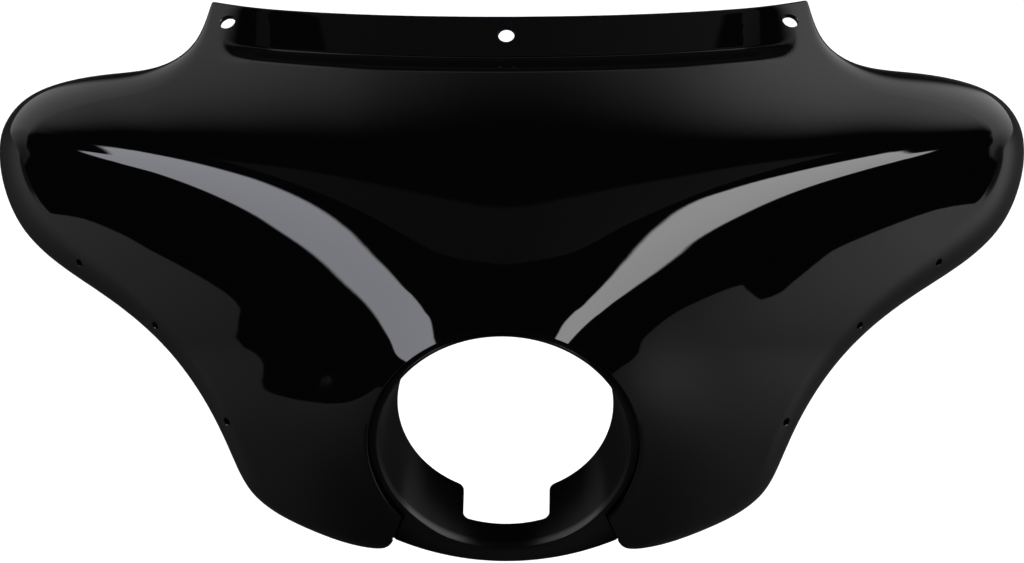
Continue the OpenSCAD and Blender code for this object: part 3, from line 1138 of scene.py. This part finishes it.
    def boss_rod(self, number: int, radius: float, start: float, end: float, sides: int) -> bpy.types.Object:
        """A rod along the headlamp's axis where a boss stands.

        Args:
            number: the boss's number round the ring.
            radius: the rod's radius.
            start: depth of its front end.
            end: depth of its rear end.
            sides: faces round the rod.

        Returns:
            The rod, closed at both ends.
        """
        z = self.sizes
        angle = math.radians((number + 0.5) * 360 / z.boss_count)
        half = (end - start) / 2
        rod = round_bar("rod", [(radius, -half), (radius, half)], sides)
        centre = Vector((
            z.boss_pitch_r * math.cos(angle),
            (start + end) / 2 + self.plane.edge_y,
            z.boss_pitch_r * math.sin(angle),
        ))
        rod.data.transform(Matrix.Translation(centre * MM) @ Matrix.Rotation(math.radians(90), 4, "X"))
        return rod

    def notch(self) -> bpy.types.Object:
        """The tool that cuts the notch in the bowl's floor.

        Returns:
            The tool's object.
        """
        z = self.sizes
        over = 2.0
        front, side = z.rear_end - z.notch_len, z.notch_half - z.notch_round
        right = [math.radians(e) for e in range(270, 361, 10)]
        left = [math.radians(e) for e in range(180, 271, 10)]
        flare, mouth = self.notch_flare, z.notch_half + self.notch_flare
        swell = [math.radians(e) for e in range(0, 91, 15)]
        flat = [
            (side + z.notch_round * math.cos(e), front + z.notch_round * (1 + math.sin(e))) for e in right
        ]
        flat += [(mouth - flare * math.cos(e), z.rear_end - flare * (1 - math.sin(e))) for e in swell]
        flat += [(mouth, z.rear_end + over), (-mouth, z.rear_end + over)]
        flat += [(flare * math.cos(e) - mouth, z.rear_end - flare * (1 - math.sin(e))) for e in swell[::-1]]
        flat += [
            (-side + z.notch_round * math.cos(e), front + z.notch_round * (1 + math.sin(e))) for e in left
        ]
        below, middle = (
            np.array([(x, y + self.plane.edge_y, height) for x, y in flat])
            for height in (-z.seat_r - z.wall - over, 0.0)
        )
        return block_between("notch", below, middle)

    def build(self, plastic: bpy.types.Material) -> bpy.types.Object:
        """Makes the bucket in its plastic.

        Args:
            plastic: its material.

        Returns:
            The bucket's object.
        """
        z = self.sizes
        bucket = self.bowl()
        outwards(bucket)
        boolean(bucket, self.chin(), BooleanKind.JOIN)
        for number in range(z.boss_count):
            boss = self.boss_rod(number, z.boss_r, z.behind_flange - z.seat_flange / 2, z.boss_end, 64)
            outwards(boss)
            room = self.turned("room", [(0.01, 0.0), (z.seat_r + z.wall / 2, 0.0)]
                               + self.bowl_profile(z.wall / 2, 24) + [(0.01, z.rear_end + 1)])
            outwards(room)
            boolean(boss, room, BooleanKind.CUT)
            boolean(bucket, boss, BooleanKind.JOIN)
        boolean(bucket, self.notch(), BooleanKind.CUT)
        for number in range(z.boss_count):
            bore = self.boss_rod(number, z.insert_r, z.boss_end - z.insert_len, z.boss_end + 1, 48)
            outwards(bore)
            boolean(bucket, bore, BooleanKind.CUT)
        bucket.name = "headlamp_bucket"
        bucket.data.materials.clear()
        bucket.data.materials.append(plastic)
        bucket.data.polygons.foreach_set("material_index", [0] * len(bucket.data.polygons))
        bucket.data.shade_smooth()
        bucket.data.set_sharp_from_angle(angle=math.radians(35))
        return bucket


@dataclass
class ThreadedInserts:
    """Four knurled brass inserts in the bucket's bosses."""

    sizes: BucketSizes
    plane: MouldPlane
    teeth: int = 32
    knurl_depth: float = 0.35
    chamfer: float = 0.5

    def one(self) -> bpy.types.Object:
        """One insert along Z with its outer end at the origin.

        Returns:
            The insert's object.
        """
        z = self.sizes
        sides = self.teeth * 4
        turn = np.linspace(0, 2 * math.pi, sides, endpoint=False)
        tooth = np.where(np.arange(sides) % 4 < 2, 0.0, self.knurl_depth)
        plain = np.zeros(sides)
        ends = z.insert_r - self.chamfer
        stack = [
            (z.insert_bore_r + self.chamfer, plain, 0.0),
            (ends, plain, 0.0),
            (z.insert_r, plain, self.chamfer),
            (z.insert_r, plain, 2.0),
            (z.insert_r, tooth, 2.4),
            (z.insert_r, tooth, 5.0),
            (z.insert_r - self.knurl_depth, plain, 5.4),
            (z.insert_r - self.knurl_depth, plain, 6.6),
            (z.insert_r, tooth, 7.0),
            (z.insert_r, tooth, z.insert_len - self.chamfer),
            (ends, plain, z.insert_len),
            (z.insert_bore_r, plain, z.insert_len),
            (z.insert_bore_r, plain, self.chamfer),
        ]
        rings = [
            np.stack([(r - cut) * np.cos(turn), (r - cut) * np.sin(turn), np.full(sides, -d)], axis=1)
            for r, cut, d in stack
        ]
        faces = []
        for k in range(len(stack)):
            a, b = k * sides, (k + 1) % len(stack) * sides
            faces += [(a + i, a + (i + 1) % sides, b + (i + 1) % sides, b + i) for i in range(sides)]
        made = mesh_object("insert_pattern", np.vstack(rings), faces)
        outwards(made)
        made.data.set_sharp_from_angle(angle=math.radians(30))
        return made

    def tree(self, brass: bpy.types.Material, pattern: bpy.types.Object) -> bpy.types.NodeTree:
        """The node tree that sets one insert on each point of a ring.

        Args:
            brass: the inserts' finish.
            pattern: the insert that is repeated.

        Returns:
            The node tree.
        """
        tree = bpy.data.node_groups.new("insert_ring", "GeometryNodeTree")
        face = tree.interface
        face.new_socket("Geometry", in_out="INPUT", socket_type="NodeSocketGeometry")
        count = face.new_socket("Count", in_out="INPUT", socket_type="NodeSocketInt")
        radius = face.new_socket("Pitch radius", in_out="INPUT", socket_type="NodeSocketFloat")
        face.new_socket("Geometry", in_out="OUTPUT", socket_type="NodeSocketGeometry")
        count.default_value = self.sizes.boss_count
        radius.default_value = self.sizes.boss_pitch_r * MM
        given = add_node(tree, "NodeGroupInput")
        ring = add_node(
            tree, "GeometryNodeMeshCircle",
            Vertices=given.outputs["Count"], Radius=given.outputs["Pitch radius"],
        )
        info = add_node(tree, "GeometryNodeObjectInfo", Object=pattern)
        placed = add_node(
            tree, "GeometryNodeInstanceOnPoints",
            Points=ring.outputs["Mesh"], Instance=info.outputs["Geometry"],
        )
        real = add_node(tree, "GeometryNodeRealizeInstances", Geometry=placed.outputs[0])
        dressed = add_node(tree, "GeometryNodeSetMaterial", Geometry=real.outputs[0], Material=brass)
        add_node(tree, "NodeGroupOutput", Geometry=dressed.outputs[0])
        return tree

    def build(self, brass: bpy.types.Material) -> bpy.types.Object:
        """Makes the four inserts in brass.

        Args:
            brass: their material.

        Returns:
            The four as one object.
        """
        z = self.sizes
        pattern = self.one()
        piece = mesh_object("threaded_inserts_brass", np.zeros((1, 3)), [])
        step = piece.modifiers.new("inserts", "NODES")
        step.node_group = self.tree(brass, pattern)
        flat_mesh(piece)
        half = math.radians(180 / z.boss_count)
        back = (z.boss_end + self.plane.edge_y) * MM
        turn = Matrix.Rotation(math.radians(-90), 4, "X") @ Matrix.Rotation(half, 4, "Z")
        piece.data.transform(Matrix.Translation((0, back, 0)) @ turn)
        bpy.data.objects.remove(pattern)
        return piece


@dataclass(frozen=True)
class StripLamp:
    """A tall strip lamp with bent sides.

    Each of its points is the climb, and how far the near and the far side stand out there. Climb turns
    from straight ahead over the top to the back, and both are in degrees.
    """

    side: float
    points: tuple[tuple[float, float, float], ...]
    near_power: float
    far_power: float
    tint: str


@dataclass
class RoomLight:
    """The light of the room by direction.

    Two strip lamps stand left and right in a dark room, with a dim panel overhead, pale walls behind
    and a pale floor. Angles are in degrees: swing turns from the left over the front to the right, and
    climb turns from straight ahead over the top to the back.
    """

    tree: bpy.types.NodeTree
    lamps: tuple[StripLamp, ...] = (
        StripLamp(
            -1,
            (
                (17, 48, 49), (22, 42, 54), (29, 33, 54.5), (36, 36, 54.5), (43, 39, 54), (50, 41, 53.5),
                (60, 40.5, 53), (70, 38.5, 52), (80, 36, 52), (88, 35, 53), (95, 35.5, 57), (102, 37.5, 50),
                (111, 43, 45),
            ),
            5.2, 4.9, "#f4f5ff",
        ),
        StripLamp(
            1,
            (
                (26, 20, 26), (31, 25, 38), (35, 30, 44), (40, 35, 47), (50, 38, 47.5), (60, 37, 46),
                (70, 34.5, 46), (80, 32, 47), (88, 31, 51), (93, 33, 54), (98, 36.5, 49), (104, 42, 44),
            ),
            6.2, 5.6, "#ffffff",
        ),
    )
    # Side points of the dim panel's front and rear edge, as swing and climb
    panel_front: tuple[tuple[float, float], ...] = (
        (-35, 107), (-30, 93), (-25, 81), (-20, 76), (-10, 73), (0, 71), (10, 73), (20, 76), (26, 85),
        (31, 97), (36, 109),
    )
    panel_rear: tuple[tuple[float, float], ...] = (
        (-36, 108), (-30, 104.5), (-20, 99), (-10, 96.5), (0, 95.5), (10, 96.5), (20, 99), (30, 104.5),
        (37, 109.5),
    )
    panel_light: tuple[tuple[float, float], ...] = (
        (-35, 0.06), (-20, 0.05), (0, 0.05), (20, 0.075), (35, 0.12),
    )
    panel_half: float = 35.5
    # Where the walls behind begin, and their light
    wall_edge: tuple[tuple[float, float], ...] = (
        (-90, 40), (-80, 55), (-74, 88), (-64, 102), (-55, 112), (-45, 118), (-40, 120.5), (-35, 117.5),
        (-28, 112.5), (-20, 109), (0, 107.5), (20, 109), (28, 111.5), (38, 117.5), (45, 115.5), (55, 104),
        (65, 92), (74, 62), (80, 45), (90, 40),
    )
    wall_light: tuple[tuple[float, float], ...] = (
        (-90, 0.1), (-82, 0.16), (-70, 0.34), (-55, 0.46), (-45, 0.66), (-33, 0.68), (-24, 0.6),
        (-16, 0.36), (0, 0.28), (16, 0.46), (23, 0.85), (31, 1.1), (40, 0.98), (55, 0.8), (68, 0.56),
        (78, 0.36), (84, 0.1), (90, 0.06),
    )
    # Share of the walls' rise that lies before their edge
    wall_lead: float = 0.1
    # The rig overhead hides the walls up to this swing and from this climb on
    rig_side: float = 20.0
    rig_foot: float = 117.0
    # Share of the walls' light that is left behind the rig
    rig_share: float = 0.06
    # Degrees over which each edge fades
    lamp_side_soft: float = 1.2
    lamp_end_soft: float = 2.0
    panel_soft: float = 1.5
    wall_soft: float = 9.0
    rig_side_soft: float = 7.0
    rig_foot_soft: float = 6.0
    floor_soft: float = 1.2
    # Swing at which a lamp has its near power, and at which it has its far power
    near_swing: float = 36.0
    far_swing: float = 50.0
    # Where the pale floor ends at the dark front, and its light
    floor_edge: tuple[tuple[float, float], ...] = (
        (-90, -20), (-84, -22), (-80, -19), (-78.5, -10), (-76.5, -6.5), (-74, -9), (-71, -11), (-69, -13),
        (-67.5, -16), (-66, -27), (-65, -33), (-63.5, -37.5), (-62.5, -32), (-60, -15), (-58, -8.5),
        (-54, -6), (-30, -6), (0, -8), (30, -4), (50, 5), (56, 9.5), (60, 9.5), (62, 8.5), (63.2, 2),
        (64, -8), (65, -9), (66, -6.5), (68, 0), (70, 5.2), (74, 5.8), (77, 0.5), (79, -8), (84, -14),
        (90, -14),
    )
    floor_light: tuple[tuple[float, float], ...] = (
        (-90, 0.04), (-84, 0.08), (-81, 0.42), (-77, 0.38), (-72, 0.3), (-66, 0.22), (-58, 0.13), (-48, 0.08),
        (-38, 0.048), (-15, 0.035), (15, 0.06), (35, 0.08), (45, 0.11), (53, 0.17), (60, 0.3), (66, 0.5),
        (72, 0.7), (77, 0.8), (80.5, 0.74), (84, 0.08), (90, 0.05),
    )

    def __post_init__(self) -> None:
        """Adds the nodes that give a direction its swing and climb."""
        way = add_node(self.tree, "ShaderNodeTexCoord").outputs["Generated"]
        axes = add_node(self.tree, "ShaderNodeSeparateXYZ", Vector=way)
        ahead = add_node(self.tree, "ShaderNodeMath", {"operation": "MULTIPLY"}, i0=axes.outputs[1], i1=-1.0)
        swing = add_node(self.tree, "ShaderNodeMath", {"operation": "ARCSINE"}, i0=axes.outputs[0])
        climb = add_node(
            self.tree, "ShaderNodeMath", {"operation": "ARCTAN2"}, i0=axes.outputs[2], i1=ahead.outputs[0]
        )
        self.swing, self.climb = (
            add_node(self.tree, "ShaderNodeMath", {"operation": "DEGREES"}, i0=turn.outputs[0]).outputs[0]
            for turn in (swing, climb)
        )

    def along(
        self, angle: bpy.types.NodeSocket, points: list[tuple[float, float]]
    ) -> bpy.types.NodeSocket:
        """A value that runs smoothly through points over an angle.

        Args:
            angle: the socket that holds the angle.
            points: pairs of an angle and a value.

        Returns:
            The socket of the value.
        """
        first, last = points[0][0], points[-1][0]
        values = [value for _, value in points]
        least, most = min(values), max(values)
        share = add_node(self.tree, "ShaderNodeMapRange", Value=angle, i1=first, i2=last)
        curve = add_node(self.tree, "ShaderNodeFloatCurve", Value=share.outputs[0])
        knots = curve.mapping.curves[0].points
        scaled = [((a - first) / (last - first), (value - least) / (most - least)) for a, value in points]
        for place, (a, value) in zip((0, -1), (scaled[0], scaled[-1])):
            knots[place].location = (a, value)
        for a, value in scaled[1:-1]:
            knots.new(a, value)
        curve.mapping.update()
        return add_node(self.tree, "ShaderNodeMapRange", Value=curve.outputs[0], i3=least, i4=most).outputs[0]

    def past(
        self, angle: bpy.types.NodeSocket, edge: bpy.types.NodeSocket | float, soft: float, lead: float = 0.5
    ) -> bpy.types.NodeSocket:
        """Rises from 0 to 1 where an angle passes an edge.

        Args:
            angle: the socket that holds the angle.
            edge: the edge, as a socket or a number.
            soft: width of the rise in degrees.
            lead: share of the rise that lies before the edge.

        Returns:
            The socket of the rise.
        """
        over = add_node(self.tree, "ShaderNodeMath", {"operation": "SUBTRACT"}, i0=angle, i1=edge)
        rise = add_node(
            self.tree, "ShaderNodeMapRange", {"interpolation_type": "SMOOTHSTEP"},
            Value=over.outputs[0], i1=-soft * lead, i2=soft * (1 - lead),
        )
        return rise.outputs[0]

    def both(
        self, first: bpy.types.NodeSocket | float, second: bpy.types.NodeSocket | float,
        kind: str = "MULTIPLY",
    ) -> bpy.types.NodeSocket:
        """Two values taken together, as their product or by another operation.

        Args:
            first: a socket or a number.
            second: a socket or a number.
            kind: the operation.

        Returns:
            The socket of the result.
        """
        return add_node(self.tree, "ShaderNodeMath", {"operation": kind}, i0=first, i1=second).outputs[0]

    def strip(self, lamp: StripLamp) -> bpy.types.NodeSocket:
        """The light of one strip lamp.

        Args:
            lamp: the lamp.

        Returns:
            The socket of its colour.
        """
        out = self.both(self.swing, lamp.side)
        near_side = self.along(self.climb, [(c, n) for c, n, _ in lamp.points])
        near = self.past(out, near_side, self.lamp_side_soft)
        far_side = self.along(self.climb, [(c, f) for c, _, f in lamp.points])
        far = self.past(out, far_side, self.lamp_side_soft)
        foot = self.past(self.climb, lamp.points[0][0], self.lamp_end_soft)
        head = self.past(self.climb, lamp.points[-1][0], self.lamp_end_soft)
        tall = self.both(foot, head, "SUBTRACT")
        across = add_node(
            self.tree, "ShaderNodeMapRange",
            Value=out, i1=self.near_swing, i2=self.far_swing, i3=lamp.near_power, i4=lamp.far_power,
        )
        light = self.both(self.both(self.both(near, far, "SUBTRACT"), tall), across.outputs[0])
        light = self.both(light, 0.0, "MAXIMUM")
        tinted = add_node(self.tree, "ShaderNodeVectorMath", {"operation": "SCALE"}, i0=linear(lamp.tint)[:3])
        self.tree.links.new(light, tinted.inputs["Scale"])
        return tinted.outputs[0]

    def build(self) -> bpy.types.NodeSocket:
        """Adds up the room.

        Returns:
            The socket of the light's colour.
        """
        ahead = self.past(self.climb, self.along(self.swing, list(self.panel_front)), self.panel_soft)
        behind = self.past(self.climb, self.along(self.swing, list(self.panel_rear)), self.panel_soft)
        aside = add_node(self.tree, "ShaderNodeMath", {"operation": "ABSOLUTE"}, i0=self.swing).outputs[0]
        outside = self.past(aside, self.panel_half, self.panel_soft)
        band = self.both(ahead, behind, "SUBTRACT")
        panel = self.both(band, self.along(self.swing, list(self.panel_light)))
        panel = self.both(self.both(panel, self.both(1.0, outside, "SUBTRACT")), 0.0, "MAXIMUM")

        wall_rim = self.along(self.swing, list(self.wall_edge))
        wall = self.past(self.climb, wall_rim, self.wall_soft, self.wall_lead)
        wall = self.both(wall, self.along(self.swing, list(self.wall_light)))
        # The rig overhead leaves the middle of the walls dark
        beside = self.past(aside, self.rig_side, self.rig_side_soft)
        over_rig = self.past(self.climb, self.rig_foot, self.rig_foot_soft)
        below = self.both(1.0, over_rig, "SUBTRACT")
        wall = self.both(wall, self.both(self.both(beside, below, "MAXIMUM"), self.rig_share, "MAXIMUM"))

        above = self.past(self.climb, self.along(self.swing, list(self.floor_edge)), self.floor_soft)
        ground = self.both(1.0, above, "SUBTRACT")
        ground = self.both(ground, self.along(self.swing, list(self.floor_light)))

        dim = self.both(self.both(panel, wall, "ADD"), ground, "ADD")
        grey = add_node(self.tree, "ShaderNodeCombineXYZ", X=dim, Y=dim, Z=dim).outputs[0]
        total = grey
        for lamp in self.lamps:
            total = add_node(
                self.tree, "ShaderNodeVectorMath", {"operation": "ADD"}, i0=total, i1=self.strip(lamp)
            ).outputs[0]
        return total


@dataclass
class Studio:
    """A dark studio with two tall strip lamps, a pale floor and the camera at the photograph's place."""

    plane: MouldPlane
    # The camera stands this far from the middle of the headlamp's rim, in millimetres
    distance: float = 2800.0
    # Millimetres of the object for each pixel, at the middle of the rim
    pixel_mm: float = 0.770
    frame_px: tuple[int, int] = (1024, 563)
    # Where the photograph shows the middle of the rim
    rim_px: tuple[float, float] = (503.5, 447.0)
    yaw: float = math.radians(1.6)
    roll: float = math.radians(0.05)
    sensor_mm: float = 36.0
    # Rounds in which the camera's turn settles, and how far it sees, in metres
    aim_rounds: int = 8
    sight: float = 100.0
    floor_half: float = 9000.0
    floor_below: float = 0.75
    floor_glow: float = 0.55

    def camera(self) -> bpy.types.Object:
        """Sets the camera at the photograph's place.

        Returns:
            The camera's object.
        """
        plane = self.plane
        width, height = self.frame_px
        focal = self.distance / self.pixel_mm
        target = np.array([0.0, plane.edge_y, 0.0])
        eye = target + plane.direction(
            self.distance * math.sin(self.yaw), 0.0, -self.distance * math.cos(self.yaw)
        )
        level = plane.direction(math.cos(self.yaw), 0.0, math.sin(self.yaw))
        upward = plane.direction(0.0, 1.0, 0.0)
        right0 = math.cos(self.roll) * level + math.sin(self.roll) * upward
        to_rim = (target - eye) / self.distance
        right, up, ahead = right0, upward, to_rim
        off_x = (self.rim_px[0] - width / 2) / focal
        off_y = (height / 2 - self.rim_px[1]) / focal
        for _ in range(self.aim_rounds):
            ahead = to_rim * math.sqrt(1 + off_x**2 + off_y**2) - right * off_x - up * off_y
            ahead = ahead / np.linalg.norm(ahead)
            right = right0 - right0.dot(ahead) * ahead
            right = right / np.linalg.norm(right)
            up = np.cross(right, ahead)
        data = bpy.data.cameras.new("camera")
        data.sensor_width = self.sensor_mm
        data.lens = focal * self.sensor_mm / width
        data.clip_end = self.sight
        made = bpy.data.objects.new("camera", data)
        basis = Matrix((right, up, -ahead)).transposed().to_4x4()
        made.matrix_world = Matrix.Translation(Vector(eye * MM)) @ basis
        bpy.context.scene.collection.objects.link(made)
        bpy.context.scene.camera = made
        return made

    def floor(self) -> bpy.types.Object:
        """A plain pale floor well below the fairing, which hangs from its mount.

        Returns:
            The floor's object.
        """
        half = self.floor_half
        low = -self.floor_below / MM
        corners = np.array([(-half, -half, low), (half, -half, low), (half, half, low), (-half, half, low)])
        made = mesh_object("floor", corners, [(0, 1, 2, 3)])
        material = bpy.data.materials.new("pale_floor")
        material.use_nodes = True
        tree = material.node_tree
        tree.nodes.clear()
        # A pale matt sheet that keeps its shadows. The camera also sees it lit from below, up to white.
        path = add_node(tree, "ShaderNodeLightPath")
        matt = add_node(tree, "ShaderNodeBsdfDiffuse", Color=linear("#f4f4f4"))
        glow = add_node(
            tree, "ShaderNodeMath", {"operation": "MULTIPLY"},
            i0=path.outputs["Is Camera Ray"], i1=self.floor_glow,
        )
        lit = add_node(tree, "ShaderNodeEmission", Color=linear("#ffffff"), Strength=glow.outputs[0])
        both = add_node(tree, "ShaderNodeAddShader", i0=matt.outputs[0], i1=lit.outputs[0])
        add_node(tree, "ShaderNodeOutputMaterial", Surface=both.outputs[0])
        made.data.materials.append(material)
        made.visible_glossy = False
        made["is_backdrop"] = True
        return made

    def world(self) -> None:
        """Lights the room by direction, and shows it white to the camera."""
        world = bpy.data.worlds.new("studio")
        world.use_nodes = True
        bpy.context.scene.world = world
        tree = world.node_tree
        tree.nodes.clear()
        room = add_node(tree, "ShaderNodeBackground", Color=RoomLight(tree).build(), Strength=1.0)
        white = add_node(tree, "ShaderNodeBackground", Color=linear("#ffffff"), Strength=1.0)
        path = add_node(tree, "ShaderNodeLightPath")
        mixed = add_node(
            tree, "ShaderNodeMixShader",
            i0=path.outputs["Is Camera Ray"], i1=room.outputs[0], i2=white.outputs[0],
        )
        add_node(tree, "ShaderNodeOutputWorld", Surface=mixed.outputs[0])

    def build(self) -> None:
        """Sets up the camera, the floor and the light."""
        self.camera()
        self.floor()
        self.world()
        bpy.context.scene.view_settings.view_transform = "Standard"


def corners() -> dict[str, list[float]]:
    """The model's box now, as plain lists."""
    low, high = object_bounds()
    return {"low": [float(a) for a in low], "high": [float(a) for a in high]}


def main() -> None:
    """Builds every piece in order and reports it."""
    logging.basicConfig(level=logging.INFO, format="%(name)s: %(message)s")
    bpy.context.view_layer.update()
    plane = MouldPlane()
    sizes = BucketSizes()
    Studio(plane).build()
    lacquer = GlossBlackLacquer().build()
    plastic = SatinMouldedPlastic().build()
    inner = SatinMouldedPlastic("raw_black_abs", "#1b1b1d", roughness=0.5, grain_mm=1.4).build()
    brass = TurnedBrass().build()

    opening_from = math.radians(OPENING_FROM)
    lip_corner = (
        sizes.open_r * math.cos(opening_from),
        sizes.open_r * math.sin(opening_from) * math.cos(plane.lean),
    )
    outline = SkinOutline(lip_corner)
    skin = OuterSkin(sizes, plane, SkinForm(plane, sizes.open_r), outline).build(lacquer, inner)
    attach(skin, BODY)
    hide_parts("outer_shell")
    log.info("outer skin: %d faces", len(skin.data.polygons))

    bucket = HeadlightBucket(sizes, plane, lip_corner, outline.corner).build(plastic)
    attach(bucket, BODY)
    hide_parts("headlight_bucket")
    log.info("headlamp bucket: %d faces", len(bucket.data.polygons))

    inserts = ThreadedInserts(sizes, plane).build(brass)
    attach(inserts, BODY)
    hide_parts("threaded_inserts")
    log.info("threaded inserts: %d faces", len(inserts.data.polygons))


if __name__ == "__main__":
    main()
